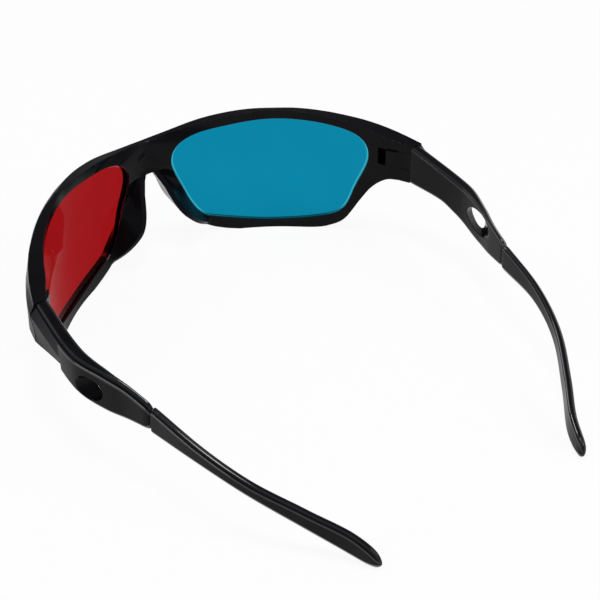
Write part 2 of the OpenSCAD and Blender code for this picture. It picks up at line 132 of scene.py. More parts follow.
def polishCorners(bm, steps):  # mark the faces of rounded corners
    lane = bm.verts.layers.int["lane"]
    polish = bm.loops.layers.float.new("polish")
    for face in bm.faces:
        corner = len({vert[lane] // (steps + 1) for vert in face.verts}) == 1
        for loop in face.loops:
            loop[polish] = float(corner)
    return bm


def bevelEdges(bm, edges, offset, segments):
    made = bmesh.ops.bevel(
        bm, geom=[edge for edge in edges if edge.is_valid], offset=offset * mm,
        offset_type="OFFSET", affect="EDGES", segments=segments, profile=0.5, material=-1,
        clamp_overlap=True)
    return made["faces"]


def shrunk(ring, by):  # ring drawn in towards its middle
    middle = sum((Vector(p) for p in ring), Vector((0, 0, 0))) / len(ring)
    shares = [min(by / max((Vector(p) - middle).length, by), 1) for p in ring]
    return [mixed(Vector(p), middle, share) for p, share in zip(ring, shares)]


def newObject(name, bm):
    mesh = bpy.data.meshes.new(name)
    bm.to_mesh(mesh)
    bm.free()
    piece = bpy.data.objects.new(name, mesh)
    bpy.context.scene.collection.objects.link(piece)
    return piece


def solid(name, rings):  # closed solid on rings of points
    return newObject(name, capped(lofted(rings)))


def carve(piece, tool, operation="DIFFERENCE"):  # boolean step, worked into the mesh
    step = piece.modifiers.new("carve", "BOOLEAN")
    step.operation = operation
    step.object = tool
    step.solver = "EXACT"
    bpy.context.view_layer.update()
    seen = piece.evaluated_get(bpy.context.evaluated_depsgraph_get())
    made = bpy.data.meshes.new_from_object(seen)
    piece.modifiers.clear()
    old = piece.data
    piece.data = made
    bpy.data.meshes.remove(old)
    bpy.data.objects.remove(tool)


def mirrorSide(piece):  # turn a right-hand mesh into the left-hand one
    bm = bmesh.new()
    bm.from_mesh(piece.data)
    bmesh.ops.scale(bm, vec=(-1, 1, 1), verts=bm.verts)
    bmesh.ops.reverse_faces(bm, faces=bm.faces)
    bm.to_mesh(piece.data)
    bm.free()


sharpShade = 34  # edges that turn more than this stay sharp in the shading


def settle(piece, material, body, nodes, side=1):
    if side < 0:
        mirrorSide(piece)
    piece.data.materials.clear()
    piece.data.materials.append(material)
    piece.data.polygons.foreach_set("use_smooth", [True] * len(piece.data.polygons))
    piece.data.set_sharp_from_angle(angle=radians(sharpShade))
    even = piece.modifiers.new("evenNormals", "WEIGHTED_NORMAL")
    even.keep_sharp = True
    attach(piece, body)
    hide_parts(*nodes)


# materials

class Wire:  # a socket that takes part in sums
    def __init__(self, paint, socket):
        self.paint = paint
        self.socket = socket

    def maths(self, operation, first, second):
        return self.paint.node("ShaderNodeMath", {"operation": operation}, {0: first, 1: second})

    def __add__(self, other):
        return self.maths("ADD", self, other)

    def __radd__(self, other):
        return self.maths("ADD", other, self)

    def __sub__(self, other):
        return self.maths("SUBTRACT", self, other)

    def __rsub__(self, other):
        return self.maths("SUBTRACT", other, self)

    def __mul__(self, other):
        return self.maths("MULTIPLY", self, other)

    def __rmul__(self, other):
        return self.maths("MULTIPLY", other, self)


class Paint:  # the nodes of a material or a world, from one node method
    def __init__(self, owner, shader="Principled BSDF", place="Object"):
        owner.use_nodes = True
        self.owner = owner
        self.tree = owner.node_tree
        self.shader = self.tree.nodes[shader]
        self.place = self.node("ShaderNodeTexCoord", out=place)

    def node(self, kind, settings=None, values=None, out=0):
        made = self.tree.nodes.new(kind)
        for name, value in (settings or {}).items():
            if name == "stops":
                for element, (position, colour) in zip(made.color_ramp.elements, value):
                    element.position = position
                    element.color = colour
            else:
                setattr(made, name, value)
        for name, value in (values or {}).items():
            self.feed(made.inputs[name], value)
        return Wire(self, made.outputs[out])

    def feed(self, socket, value):
        if isinstance(value, Wire):
            self.tree.links.new(value.socket, socket)
        else:
            socket.default_value = value

    def set(self, **values):
        for name, value in values.items():
            self.feed(self.shader.inputs[name.replace("_", " ")], value)

    def noise(self, scale, detail, rough=0.5):
        return self.node("ShaderNodeTexNoise", None, {
            "Vector": self.place, "Scale": scale, "Detail": detail, "Roughness": rough})

    def mark(self, name):  # a value kept on the mesh
        return self.node("ShaderNodeAttribute", {"attribute_name": name}, out="Fac")

    def ramp(self, value, span, first, second):
        stops = [(at, (*colour, 1)) for at, colour in zip(span, (first, second))]
        return self.node("ShaderNodeValToRGB", {"stops": stops}, {"Fac": value})

    def tone(self, value, finish):  # from a finish's dark to its light
        return self.ramp(value, finish["span"], finish["dark"], finish["light"])

    def blend(self, share, first, second):
        sockets = {0: share, 6: first, 7: second}  # the Mix node's colour sockets
        return self.node("ShaderNodeMix", {"data_type": "RGBA"}, sockets, out=2)

    def bump(self, height, finish):
        return self.node("ShaderNodeBump", None, {
            "Height": height, "Strength": finish["bump"], "Distance": finish["relief"] * mm})


glossFinish = dict(
    dark=(0.0024, 0.0024, 0.0031), light=(0.0045, 0.0045, 0.0055), span=(0.3, 0.75), cloud=160,
    peel=900, peelHigh=0.12, rough=0.12, roughVary=0.1, bump=0.35, relief=0.03, specular=0.08,
    coatRough=0.06)
grainFinish = dict(
    dark=(0.006, 0.006, 0.007), light=(0.013, 0.013, 0.015), span=(0.3, 0.7), size=2600,
    uneven=0.6, cloud=220, rough=0.42, roughVary=0.12, bump=0.4, relief=0.04, specular=0.16)
satinFinish = dict(
    dark=(0.0028, 0.0028, 0.0035), light=(0.0055, 0.0055, 0.0064), span=(0.3, 0.75), cloud=140,
    peel=1400, rough=0.2, roughVary=0.1, bump=0.12, relief=0.02, specular=0.09, coatRough=0.08)
steelFinish = dict(
    dark=(0.38, 0.39, 0.41), light=(0.62, 0.63, 0.65), span=(0.3, 0.7), brush=2400, uneven=0.65,
    rough=0.3, roughVary=0.2, bump=0.2, relief=0.02)
# pale is the colour of the painted highlight along each lens's rear edge
lensFinish = dict(
    red=(0.345, 0.0072, 0.0092), cyan=(0.0032, 0.245, 0.40), highlightColour=(0.45, 0.72, 0.78, 1),
    deep=0.94, span=(0.25, 0.8), cloud=55, smear=320, rough=0.02, roughVary=0.025, bump=0.02,
    relief=0.05, ior=1.05)


def blackGloss():  # moulded gloss, with grain where the mesh is marked for it
    paint = Paint(bpy.data.materials.new("blackGloss"))
    cloud = paint.noise(glossFinish["cloud"], 4)
    peel = paint.noise(glossFinish["peel"], 2)
    spot = paint.noise(grainFinish["size"], 2, grainFinish["uneven"])
    grain = paint.mark("grain")
    smooth = 1 - grain
    smoothRough = glossFinish["rough"] + glossFinish["roughVary"] * cloud
    height = smooth * peel * glossFinish["peelHigh"] + grain * spot
    paint.set(
        Base_Color=paint.blend(
            grain, paint.tone(cloud, glossFinish), paint.tone(spot, grainFinish)),
        Roughness=smooth * smoothRough + grain * grainFinish["rough"],
        Normal=paint.bump(height, glossFinish),
        Coat_Weight=paint.mark("polish"), Coat_Roughness=glossFinish["coatRough"],
        Specular_IOR_Level=glossFinish["specular"])
    return paint.owner


def grainPanel():
    paint = Paint(bpy.data.materials.new("grainPanel"))
    spot = paint.noise(grainFinish["size"], 2, grainFinish["uneven"])
    cloud = paint.noise(grainFinish["cloud"], 3)
    paint.set(
        Base_Color=paint.tone(spot, grainFinish),
        Roughness=grainFinish["rough"] + grainFinish["roughVary"] * cloud,
        Normal=paint.bump(spot, grainFinish), Specular_IOR_Level=grainFinish["specular"])
    return paint.owner


def satinTip():
    paint = Paint(bpy.data.materials.new("satinTip"))
    cloud = paint.noise(satinFinish["cloud"], 4)
    peel = paint.noise(satinFinish["peel"], 2)
    paint.set(
        Base_Color=paint.tone(cloud, satinFinish),
        Roughness=satinFinish["rough"] + satinFinish["roughVary"] * cloud,
        Normal=paint.bump(peel, satinFinish),
        Coat_Weight=paint.mark("polish"), Coat_Roughness=satinFinish["coatRough"],
        Specular_IOR_Level=satinFinish["specular"])
    return paint.owner


def screwSteel():
    paint = Paint(bpy.data.materials.new("screwSteel"))
    brushed = paint.noise(steelFinish["brush"], 4, steelFinish["uneven"])
    paint.set(
        Base_Color=paint.tone(brushed, steelFinish),
        Roughness=steelFinish["rough"] + steelFinish["roughVary"] * brushed,
        Normal=paint.bump(brushed, steelFinish), Metallic=1.0)
    return paint.owner


def tintedLens(name, colour):
    paint = Paint(bpy.data.materials.new(name))
    cloud = paint.noise(lensFinish["cloud"], 3)
    smear = paint.noise(lensFinish["smear"], 4)
    deep = tuple(lensFinish["deep"] * value for value in colour)
    tint = paint.ramp(cloud, lensFinish["span"], deep, colour)
    # painted highlight: the marked band near the rear edge takes the pale colour instead of the
    # tint
    paint.set(
        Base_Color=paint.blend(paint.mark("line"), tint, lensFinish["highlightColour"]),
        Roughness=lensFinish["rough"] + lensFinish["roughVary"] * smear,
        Normal=paint.bump(cloud, lensFinish), Transmission_Weight=1.0, IOR=lensFinish["ior"])
    return paint.owner


gloss, grainy, satin, steel = blackGloss(), grainPanel(), satinTip(), screwSteel()
redTint = tintedLens("redTint", lensFinish["red"])
cyanTint = tintedLens("cyanTint", lensFinish["cyan"])
print("materials ready")


# front: a band that wraps round a vertical axis, with the two lens openings

front = dict(
    hingeHalf=66, hingeAhead=5.2, reach=52, wrapIn=3.2, shy=0.006,
    rimTop=41.99, rimAbove=3, rimBelow=2.2, rimDepth=4.5, rimFoot=2.2, rimRound=3, crownHigh=2.6,
    footBend=1.4, footBelly=0.6, bellyBend=3, frontFoot=2.7, frontBend=1.2,
    browDip=4.6, bridgeHigh=10.2, bridgeArc=9, bridgeLean=2.7, leanLow=0.1, leanTo=3.2, leanTurn=6,
    creaseLow=4, creaseHigh=3.2, creaseDeep=0.9, creaseFlat=0.3, creaseEnd=0.55, creaseRun=4,
    endDrop=6.6, endHigh=13, endThick=6, endArc=14.4, endReach=24, endFrom=(52, 62),
    ridgeOut=1.6, ridgeDrop=3, ridgeRise=1.2, ridgeFade=0.75,
    gableUp=2.4, gableDown=6.8, gableLow=0.75, gableReach=7.6, gableLeast=0.1,
    lensThick=2, lensSheet=1.5, lensInset=1.8, lensLap=0.9, lensGap=0.08, lensFoot=2.5, seat=0.45,
    flare=1.4, noseFlare=4.2, noseGrow=0.6, noseBack=3, lip=0.85, noseHalf=11.2,
    padThick=2.6, padReach=5.4, padSplay=8, strip=1.7, stripUp=0.2, rootOut=0.3, pocket=0.7,
    edge=0.36, faceEdge=0.15, padEdge=0.5, creaseEdge=0.3, sharpTurn=28, creaseTurn=8, endSide=60)
hingeHalf, rimTop = front["hingeHalf"], front["rimTop"]
seamY = hinges["left_fold"]["pos_m"][1] / mm - front["hingeAhead"]
wrapR = ((hingeHalf + front["wrapIn"]) ** 2 + front["reach"] ** 2) / (2 * front["reach"])
wrapY = front["reach"] - wrapR
rearR = wrapR - front["rimDepth"]
footR = rearR - front["rimFoot"]
lensInR = wrapR - front["lensInset"] - front["lensThick"]
lensOutR = lensInR + front["lensSheet"]
seamAngle = degrees(atan2(hingeHalf, -wrapY))
lensFrom = degrees(front["bridgeArc"] / lensInR)
lensTo = seamAngle - degrees(front["endArc"] / lensInR)
lensMid = (lensFrom + lensTo) / 2
lensSpan = lensTo - lensFrom
lensLow, lensHigh = front["rimBelow"], rimTop - front["rimAbove"]
endTop = rimTop - front["endDrop"]
endLow = endTop - front["endHigh"]
browTop = rimTop - front["browDip"]
gapTop = browTop - front["bridgeHigh"]
splay = radians(front["padSplay"])
lensShape = [
    (0, 0.72), (0.06, 0.885), (0.25, 0.957), (0.52, 1), (0.8, 0.965), (0.957, 0.885), (1, 0.7),
    (0.935, 0.4), (0.858, 0.133), (0.7, 0.027), (0.47, 0), (0.239, 0.07), (0.135, 0.163),
    (0.06, 0.42)]
lensLoop = [
    (lensInR * sin(radians(lensFrom + u * lensSpan - lensMid)),
     lensLow + v * (lensHigh - lensLow)) for u, v in lensShape]
browLine = [
    (-8, browTop), (0, browTop), (lensFrom, rimTop - 0.88 * front["browDip"]),
    (lensFrom + 0.2 * lensSpan, rimTop - 0.4 * front["browDip"]), (lensMid, rimTop),
    (lensFrom + 0.76 * lensSpan, rimTop - 0.18 * front["endDrop"]),
    (lensTo, rimTop - 0.53 * front["endDrop"]),
    (seamAngle, endTop), (seamAngle + 8, endTop - 0.3 * front["endDrop"])]
footTurns = [
    (-20, 0), (-14, 0.01), (-10, 0.06), (-5.5, 0.2), (-1, 0.54), (2, 0.76), (5, 0.91), (8, 0.99)]


def footAcross(angle):  # from an angle to a distance across the lens axis, at the foot
    return footR * sin(radians(angle - lensMid))


footLine = [(-60, 0)] + [(footAcross(lensTo + turn), share * endLow) for turn, share in footTurns]
footLine += [(footAcross(seamAngle), endLow), (60, endLow)]
noseLine = [
    (-8, 1), (0.08, 1), (0.2, 0.91), (0.33, 0.81), (0.47, 0.65), (0.64, 0.51), (0.86, 0.4),
    (1.25, 0.24), (1.7, 0.1), (2.15, 0.03), (2.55, 0)]
noseCurve = [(n * front["noseHalf"], share * gapTop) for n, share in noseLine]
padLine = [
    (-0.1, -0.3), (0.03, -0.1), (0.1, 0.3), (0.24, 0.8), (0.4, 1), (0.5, 0.85), (0.68, 0.4),
    (0.93, -0.3), (1, -0.54), (1.2, -0.6)]
padCurve = [(share * gapTop, -reach * front["padReach"]) for share, reach in padLine]
endInner = [(-20, 0), (40, 0), (62, 0), (65.84, 0), (70.34, 0.95), (seamAngle, 1.44), (80, 2.6)]
endOuter = [
    (-20, 0), (40, 0), (50, 0), (56, 0.1), (63.13, 1.07), (68, 1.78), (74.45, 2.7), (80, 3.4)]

# stations run round the lens opening, and the outer outline meets them at these keys
stationStep = 0.1
stationCount = round(len(lensShape) / stationStep)
bridgeLow, bridgeHigh, seamHigh, seamLow, noseEnd = 13.6, 15, 5, 6.4, 10.4
browKeys = [(1, 0), (2, 18.5), (3, 35.3), (4, 52), (5, seamAngle)]
footKeys = [
    (6.8, 69), (7.2, 66), (7.6, 61.8), (8, 58.3), (8.5, 53), (9, 46), (10, 33), (10.4, 25.33),
    (11, 18)]
noseKeys = [(10, 34), (10.4, 28.56), (11, 20.5), (12, 12.5), (13, 5.4), (13.6, 0), (14, -4)]
seamTurn, seamTurnFrom = 1.0, 3.6  # the front outline turns on ahead of the rear one
footTurn, footTurnFrom = 2.18, 9
spans = dict(
    belly=((14, 32), (38, 56)), side=((1, 2), (4.4, 5.4)), flare=((0.9, 2), (3.1, 4.2)),
    flush=((9.6, 11.8), (13.6, 13.85)), pad=((noseEnd - 0.6, noseEnd + 1.5), (13.55, 13.8)),
    pocket=(12.9, 13.3), grain=(seamHigh + 0.05, seamLow + 0.5),
    rearEdge=(0.95, bridgeLow + 0.05), padEdge=(noseEnd - 0.85, bridgeLow + 0.05))
lanes = 5
rearLane, faceLane, openLane = lanes, lanes + 3, 2 * lanes + 3  # a section's corners
settleRounds = 4  # rounds that bring a point onto a curved face
nudge = 0.02


def onBridge(c):
    return c >= bridgeLow or c <= 1


def gableIn(y, z):  # how far the gabled outer face of an end piece stands back from its ridge
    ridge = endTop - front["ridgeDrop"] * (1 - front["ridgeRise"] * y / front["endReach"])
    if z > ridge:
        out = front["ridgeOut"] * (1 - front["ridgeFade"] * y / front["endReach"])
        return out * min((z - ridge) / front["gableUp"], 1)
    fade = max(1 - y / front["gableReach"], front["gableLeast"])
    return front["gableLow"] * front["ridgeOut"] * fade * min((ridge - z) / front["gableDown"], 1)


def bridgeShare(z):
    return min(max((z - gapTop) / (browTop - gapTop), 0), 1)


def valley(z):  # half width of the shallow valley behind the bridge
    return mixed(front["creaseLow"], front["creaseHigh"], bridgeShare(z))


def lowShare(z):  # 1 at the foot, 0 from half height up
    return 1 - min(max(z, 0) / (rimTop / 2), 1)


def rearRadius(angle, z):
    low, share = lowShare(z), bridgeShare(z)
    belly = front["footBelly"] * window(angle, spans["belly"]) * low ** front["bellyBend"]
    r = rearR + smoothAt(endInner, angle) - front["rimFoot"] * low ** front["footBend"] - belly
    side = abs(rearR * sin(radians(angle)))
    deep = mixed(front["creaseFlat"], front["creaseDeep"], share)
    deep *= 1 - ease(front["creaseEnd"], 1, share)
    return r + deep * max(1 - side / valley(z), 0) * ease(gapTop - front["creaseRun"], gapTop, z)


def frontRadius(angle, z):
    end = ease(*front["endFrom"], angle)
    crownHigh = front["crownHigh"] * front["rimAbove"]
    high = min(max((z - rimTop + crownHigh) / crownHigh, 0), 1)
    crown = front["rimRound"] * (1 - sqrt(1 - high * high))
    foot = front["frontFoot"] * lowShare(z) ** front["frontBend"]
    r = wrapR + smoothAt(endOuter, angle) - front["shy"]
    y = max(r * cos(radians(angle)) + wrapY, 0)
    return r - (1 - end) * crown - foot - end * gableIn(y, z)


def onWrap(angle, z, radius):
    r = radius(angle, z)
    return Vector((r * sin(radians(angle)), wrapY + r * cos(radians(angle)), z))


def wrapAngle(p):
    return degrees(atan2(p.x, p.y - wrapY))


def angleAt(across, z, radius):  # angle of a point that lies across the lens axis
    angle = lensMid + degrees(asin(across / wrapR))
    for _ in range(settleRounds):
        angle = lensMid + degrees(asin(across / radius(angle, z)))
    return angle


def lensEdge(c, grow):  # point of the lens outline, moved outwards
    along = loopAt(lensLoop, c + nudge) - loopAt(lensLoop, c - nudge)
    out = Vector((-along.y, along.x)).normalized()
    return loopAt(lensLoop, c) + out * grow


def lensPoint(edge, r):  # on the lens sheet, which bends back at the foot
    r -= front["lensFoot"] * lowShare(edge.y) ** front["footBend"]
    angle = radians(lensMid + degrees(asin(edge.x / r)))
    return Vector((r * sin(angle), wrapY + r * cos(angle), edge.y))


def noseAt(n, z, radius=None, y=None):  # point on the nose gap's wall at a radius, or at a depth
    ox, oy = n * cos(splay), footR - n * sin(splay)
    if y is not None:
        t = (y - wrapY - oy) / cos(splay)
    else:
        t = 0
        for _ in range(settleRounds):
            angle = degrees(atan2(ox + t * sin(splay), oy + t * cos(splay)))
            r = radius(angle, z)
            reach = ox * sin(splay) + oy * cos(splay)
            t = sqrt(max(reach * reach - (ox * ox + oy * oy - r * r), 0)) - reach
    return Vector((ox + t * sin(splay), wrapY + oy + t * cos(splay), z))


def outline(c, radius, isFront):  # point of the outer outline at a station
    if onBridge(c):
        share = ((c if c > 2 else c + len(lensShape)) - bridgeLow) / (bridgeHigh - bridgeLow)
        return onWrap(0, gapTop + share * (browTop - gapTop), radius)
    if c < seamHigh:
        angle = smoothAt(browKeys, c)
        turn = seamTurn * ease(seamTurnFrom, seamHigh, c) if isFront else 0
        return onWrap(angle + turn, smoothAt(browLine, angle), radius)
    if c <= seamLow:
        z = endTop - (c - seamHigh) / (seamLow - seamHigh) * front["endHigh"]
        x = hingeHalf + front["endThick"] - gableIn(0, z) if isFront else hingeHalf
        return Vector((x, 0, z))
    if c < noseEnd:
        corner = outline(seamLow, radius, isFront)
        start = corner.x * cos(radians(lensMid)) - (corner.y - wrapY) * sin(radians(lensMid))
        keys = [(seamLow, start)] + [(k, footAcross(angle)) for k, angle in footKeys]
        across = smoothAt(keys, c)
        z = max(smoothAt(footLine, across), 0)
        turn = footTurn * ease(footTurnFrom, noseEnd, c) if isFront else 0
        return onWrap(angleAt(across, z, radius) - turn, z, radius)
    n = smoothAt(noseKeys, c)
    z = max(smoothAt(noseCurve, n), 0)
    wall = noseAt(n, z, radius)
    if isFront:
        return wall
    back = wrapY + footR + smoothAt(padCurve, z)
    return noseAt(n, z, y=min(back, wall.y))


def noseSide(c):  # 1 on the stations beside the bridge, 0 elsewhere
    return window((c + front["noseBack"]) % len(lensShape), spans["side"])


def noseFlare(c):  # the front of the opening is cut back beside the nose
    share = window((c + front["noseBack"]) % len(lensShape), spans["flare"])
    return mixed(front["flare"], front["noseFlare"], share)


def lean(c, end):  # how far the rear face leans forward at the outline
    if onBridge(c):
        return mixed(front["leanLow"], front["bridgeLean"], bridgeShare(end.z))
    return front["bridgeLean"] * (1 - ease(1, front["leanTo"], c))


def padPoints(c, start, end):  # a wall back to the pad's rear edge, and the edge's own strip
    n = max(smoothAt(noseKeys, c), 0)
    stripAt = n + front["strip"], end.z + front["stripUp"]
    back = wrapY + footR + smoothAt(padCurve, end.z)
    corner = noseAt(*stripAt, y=min(noseAt(*stripAt, rearRadius).y, back))
    root = noseAt(n + front["padThick"] + front["rootOut"], end.z + front["rootOut"],
                  lambda angle, z: lensInR + front["pocket"])
    root = mixed(mixed(start, corner, 0.5), root, ease(*spans["pocket"], c))
    return [start, mixed(start, root, 0.5), root, mixed(root, corner, 0.55), corner, end]


def lanePoints(c, radius, isFront):  # points from the lens opening out to the outline
    edge = lensEdge(c, noseFlare(c) if isFront else front["noseGrow"] * noseSide(c))
    start = onWrap(angleAt(edge.x, edge.y, radius), edge.y, radius)
    end = outline(c, radius, isFront)
    if not isFront:  # beside the nose the lens lies almost flush
        flush = lensPoint(edge, lensInR - front["seat"])
        start = mixed(start, flush, window(c, spans["flush"]))
    out = []
    for k in range(lanes + 1):
        share = k / lanes
        if onBridge(c) and not isFront and k < lanes:
            share = k / (lanes - 1) * (1 - valley(end.z) / start.x)
        angle = mixed(wrapAngle(start), wrapAngle(end), share)
        out.append(onWrap(angle, mixed(start.z, end.z, share), radius))
    miss = end - out[-1]
    out = [p + miss * ease(0, 1, k / lanes) for k, p in enumerate(out)]
    if isFront:
        return out
    turn = max(abs(wrapAngle(end) - wrapAngle(start)), front["leanTurn"])
    for k, p in enumerate(out):
        forward = Vector((p.x, p.y - wrapY, 0)).normalized()
        share = min(abs(wrapAngle(p) - wrapAngle(start)) / turn, 1)
        out[k] = p + forward * lean(c, end) * share
    if spans["pad"][0][0] < c < spans["pad"][1][1]:
        share = window(c, spans["pad"])
        out = [mixed(p, q, share) for p, q in zip(out, padPoints(c, start, end))]
    return out


def stationRing(c):  # closed section of the rim at a station
    rear = lanePoints(c, rearRadius, False)
    face = lanePoints(c, frontRadius, True)
    wall = [mixed(rear[-1], face[-1], share) for share in (1 / 3, 2 / 3)]
    deep = front["lensLap"] + front["lensGap"]
    ahead, behind = lensOutR + front["lensGap"], lensInR - front["lensGap"]
    groove = [lensPoint(lensEdge(c, grow), r) for grow, r in (
        (front["lip"], ahead), (deep, ahead), (deep, behind),
        (front["noseGrow"] * noseSide(c), behind))]
    return [p + Vector((0, seamY, 0)) for p in rear + wall + face[::-1] + groove]


def makeFront():
    bm = lofted([stationRing(i * stationStep) for i in range(stationCount)], loop=True)
    lane, station = bm.verts.layers.int["lane"], bm.verts.layers.int["station"]
    grain = bm.verts.layers.float.new("grain")
    polish = bm.loops.layers.float.new("polish")
    for vert in bm.verts:  # the outer facets of the end pieces are grained
        outer = faceLane <= vert[lane] <= faceLane + 2
        low, high = spans["grain"]
        vert[grain] = float(outer and low < vert[station] * stationStep < high)
    for face in bm.faces:  # the walls of the openings are polished
        polished = all(vert[lane] >= openLane or vert[lane] == 0 for vert in face.verts)
        for loop in face.loops:
            loop[polish] = float(polished)
    middle = [face for face in bm.faces
              if all(abs(vert.co.x) < middleGap for vert in face.verts)]
    bmesh.ops.delete(bm, geom=middle, context="FACES")
    whole = bm.verts[:] + bm.edges[:] + bm.faces[:]
    bmesh.ops.mirror(bm, geom=whole, merge_dist=middleGap, axis="X")
    bmesh.ops.remove_doubles(bm, verts=bm.verts, dist=weldGap)
    bmesh.ops.recalc_face_normals(bm, faces=bm.faces)

    def laneOf(edge):  # the lane that an edge runs along
        ends = [vert[lane] for vert in edge.verts]
        return ends[0] if ends[0] == ends[1] else None

    def within(edge, span):
        return all(span[0] < vert[station] * stationStep < span[1] for vert in edge.verts)

    def turns(edge, least):
        return edge.calc_face_angle(0) > radians(least)

    inside = [edge for edge in bm.edges if edge.is_manifold]
    sharp = [edge for edge in inside if turns(edge, front["sharpTurn"])]
    mainEdges = [edge for edge in inside if laneOf(edge) == 0]
    mainEdges += [edge for edge in inside
                  if laneOf(edge) == rearLane and within(edge, spans["rearEdge"])]
    mainEdges += [edge for edge in sharp if edge.verts[0][station] == edge.verts[1][station]
                  and abs(edge.verts[0].co.x) > front["endSide"] * mm]
    faceEdges = [edge for edge in sharp if laneOf(edge) in (faceLane, openLane)]
    inner = [edge for edge in inside if laneOf(edge) == rearLane - 1]
    padEdges = [edge for edge in inner if within(edge, spans["padEdge"])]
    creases = [edge for edge in inner
               if edge not in padEdges and turns(edge, front["creaseTurn"])]
    for edges, offset, shine in (
            (mainEdges, front["edge"], 1), (faceEdges, front["faceEdge"], 1),
            (padEdges, front["padEdge"], 0), (creases, front["creaseEdge"] * front["edge"], 0)):
        for face in bevelEdges(bm, edges, offset, 3):
            for loop in face.loops:
                loop[polish] = shine
    return newObject("frontShell", bm)


hinge = dict(
    inX=0.8, tongueR=2.4, tongueHigh=5.8, earTop=2.6, tongueGap=0.12, slotAhead=6, slotIn=3,
    wideFrom=(12, 42), screw=2, screwGap=0.05, borePoints=24, nearIn=1.5, near=3, mid=7.6, far=13,
    nose=3.1, noseTip=1.5, noseTurn=100, pocketDeep=2.6, pocketOut=8, pocketAhead=0.5,
    pocketShort=0.1, pocketShy=0.01, arcSteps=12, past=1)
tongueTop = endTop - hinge["earTop"]
tongueLow = tongueTop - hinge["tongueHigh"]
slotTop, slotLow = tongueTop + hinge["tongueGap"], tongueLow - hinge["tongueGap"]
hingeX, hingeY = hingeHalf - hinge["inX"], front["hingeAhead"]
past = hinge["past"]  # how far a cutting or joining solid runs on past a face
farR = lensInR + 0.3 * front["lensThick"]
innerX = [
    (-past, hingeHalf + 0.3 * hinge["nearIn"]), (0, hingeHalf),
    (hinge["near"], hingeHalf - hinge["nearIn"]),
    (hinge["mid"], sqrt(rearR ** 2 - (hinge["mid"] - wrapY) ** 2)),
    (hinge["far"], sqrt(farR ** 2 - (hinge["far"] - wrapY) ** 2))]
hingeSlant = atan2(
    smoothAt(innerX, hinge["near"]) - smoothAt(innerX, hinge["mid"]), hinge["mid"] - hinge["near"])


def prism(name, points, low, high):  # upright prism on a flat outline
    return solid(name, [[Vector((x, y + seamY, z)) for x, y in points] for z in (low, high)])


def aboutHinge(points):  # from the hinge's own slanted frame into the plan
    c, s = cos(hingeSlant), sin(hingeSlant)
    return [(hingeX + x * c - y * s, hingeY + x * s + y * c) for x, y in points]


def hingeSlot(side):  # the slot is wider where the tongue's nose swings past
    r, inward = hinge["tongueR"] + hinge["tongueGap"], hinge["slotIn"] * hinge["tongueR"]
    wide = hypot(hinge["tongueR"], hinge["nose"]) + hinge["tongueGap"]
    turned = [(-inward, 0), (-inward, hinge["slotAhead"]), (0, hinge["slotAhead"])]
    for k in range(hinge["arcSteps"] + 1):
        turn = 90 * (1 - k / hinge["arcSteps"])
        reach = mixed(r, wide, ease(*hinge["wideFrom"], turn))
        turned.append((reach * cos(radians(turn)), reach * sin(radians(turn))))
    points = aboutHinge(turned)
    points += [(hingeX + r, hingeY - k / 4 * (hingeY + past)) for k in range(5)]
    points = [(side * x, y) for x, y in points + [(hingeX - inward, -past)]]
    return prism("slotTool", points, slotLow, slotTop)


def slotPocket(side):  # the dark end of the slot, ahead of the tongue
    near, far = hinge["nose"] + hinge["pocketAhead"], hinge["slotAhead"] - hinge["pocketShort"]
    deep, out, shy = hinge["pocketDeep"], hinge["pocketOut"], hinge["pocketShy"]
    points = aboutHinge([(-out, near), (deep, near), (deep, far), (-out, far)])
    return prism("pocketTool", [(side * x, y) for x, y in points], slotLow + shy, slotTop - shy)


shell = makeFront()
for side in (1, -1):
    carve(shell, hingeSlot(side))
    carve(shell, slotPocket(side))
settle(shell, gloss, "frame", ["front_frame"])
print("front ready:", len(shell.data.polygons), "faces")


# lenses: curved sheets whose edges sit in the groove

lensRing = dict(points=112, lanes=(0.02, 0.25, 0.5, 0.75, 0.9, 0.996), edgeIn=0.15,
                line=(-0.5, -0.36, -0.1, 0.03))


def makeLens(name, side, material, node):
    halves = 2 * len(lensShape)
    middle = sum((lensEdge(i / 2, 0) for i in range(halves)), Vector((0, 0))) / halves
    step = len(lensShape) / lensRing["points"]
    stations = [i * step for i in range(lensRing["points"])]
    outer = [lensEdge(c, front["lensLap"]) for c in stations]
    rings = []
    for r, shares in ((lensInR, lensRing["lanes"]), (lensOutR, lensRing["lanes"][::-1])):
        rings += [[lensPoint(mixed(middle, edge, share), r) for edge in outer] for share in shares]
    half = len(lensRing["lanes"])
    rings[half:half] = [
        [lensPoint(edge, r) for edge in outer]
        for r in (lensInR + lensRing["edgeIn"], lensOutR - lensRing["edgeIn"])]
    # rings that bound the band of painted highlight near the lens's rear edge
    rings[half - 1:half - 1] = [
        [lensPoint(lensEdge(c, grow + front["noseGrow"] * noseSide(c)), lensInR) for c in stations]
        for grow in lensRing["line"]]
    bm = lofted([[p + Vector((0, seamY, 0)) for p in ring] for ring in rings])
    station, line = bm.verts.layers.int["station"], bm.verts.layers.float.new("line")
    for vert in bm.verts:  # a thin pale band painted near the rear edge, a painted highlight
        vert[line] = float(half <= vert[station] <= half + 1)
    settle(newObject(name, capped(bm)), material, "frame", [node], side)


makeLens("cyanLens", 1, cyanTint, "right_lens")
makeLens("redLens", -1, redTint, "left_lens")
print("lenses ready")


# temples

